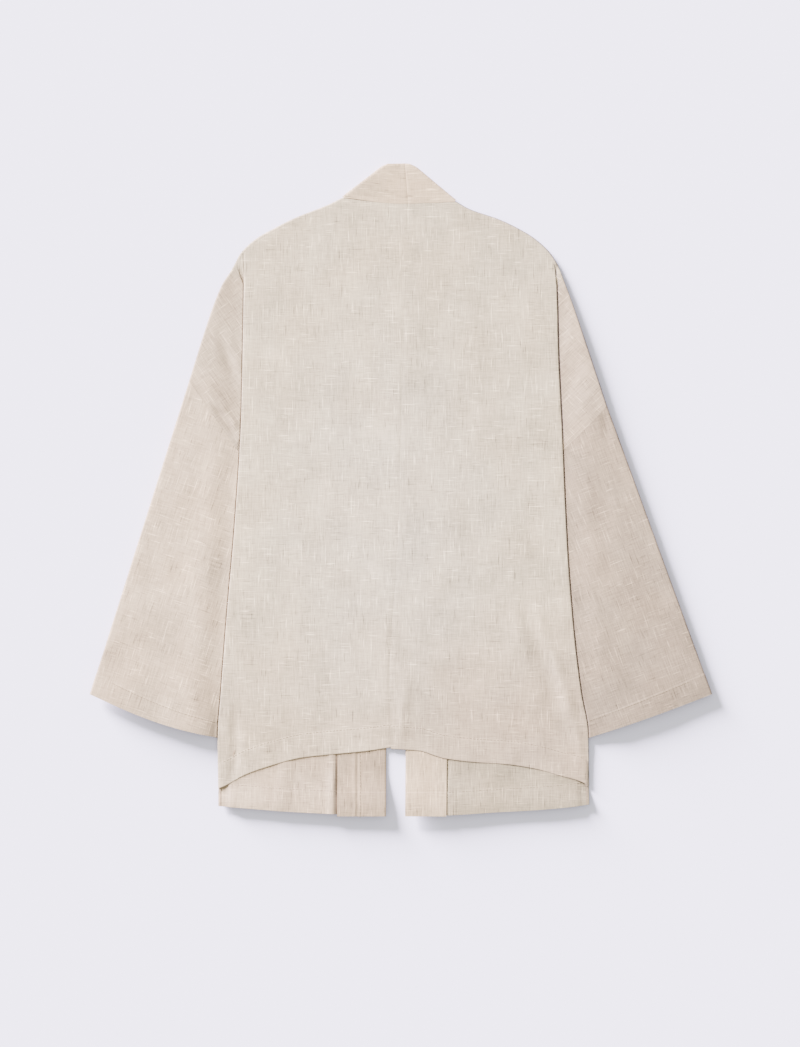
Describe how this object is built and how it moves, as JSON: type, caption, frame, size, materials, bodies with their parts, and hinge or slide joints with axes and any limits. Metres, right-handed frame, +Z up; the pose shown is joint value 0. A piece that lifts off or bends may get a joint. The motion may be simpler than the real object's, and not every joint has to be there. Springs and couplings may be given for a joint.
{
  "type": "kimono jacket",
  "caption": "Open-fronted kimono jacket in slubbed natural linen, laid flat back uppermost, with drop shoulders, wide sleeves and a straight neckband.",
  "frame": {"origin": "middle of the laid jacket's footprint, on the surface that it lies on", "axes": "+Y from the front hems towards the collar, +X towards the right of the picture, +Z up from the surface, out of the back of the jacket"},
  "size_m": [0.7774, 0.8156, 0.0116],
  "materials": {
    "body_linen": "plain-woven slub linen, matt",
    "sleeve_linen": "plain-woven slub linen, matt",
    "band_linen": "plain-woven slub linen folded double, matt"
  },
  "bodies": {
    "root": {"back_left": "body_linen", "back_right": "body_linen", "front_left": "body_linen", "front_right": "body_linen", "sleeve_left": "sleeve_linen", "sleeve_right": "sleeve_linen", "neckband_left": "band_linen", "neckband_right": "band_linen"}
  },
  "joints": []
}
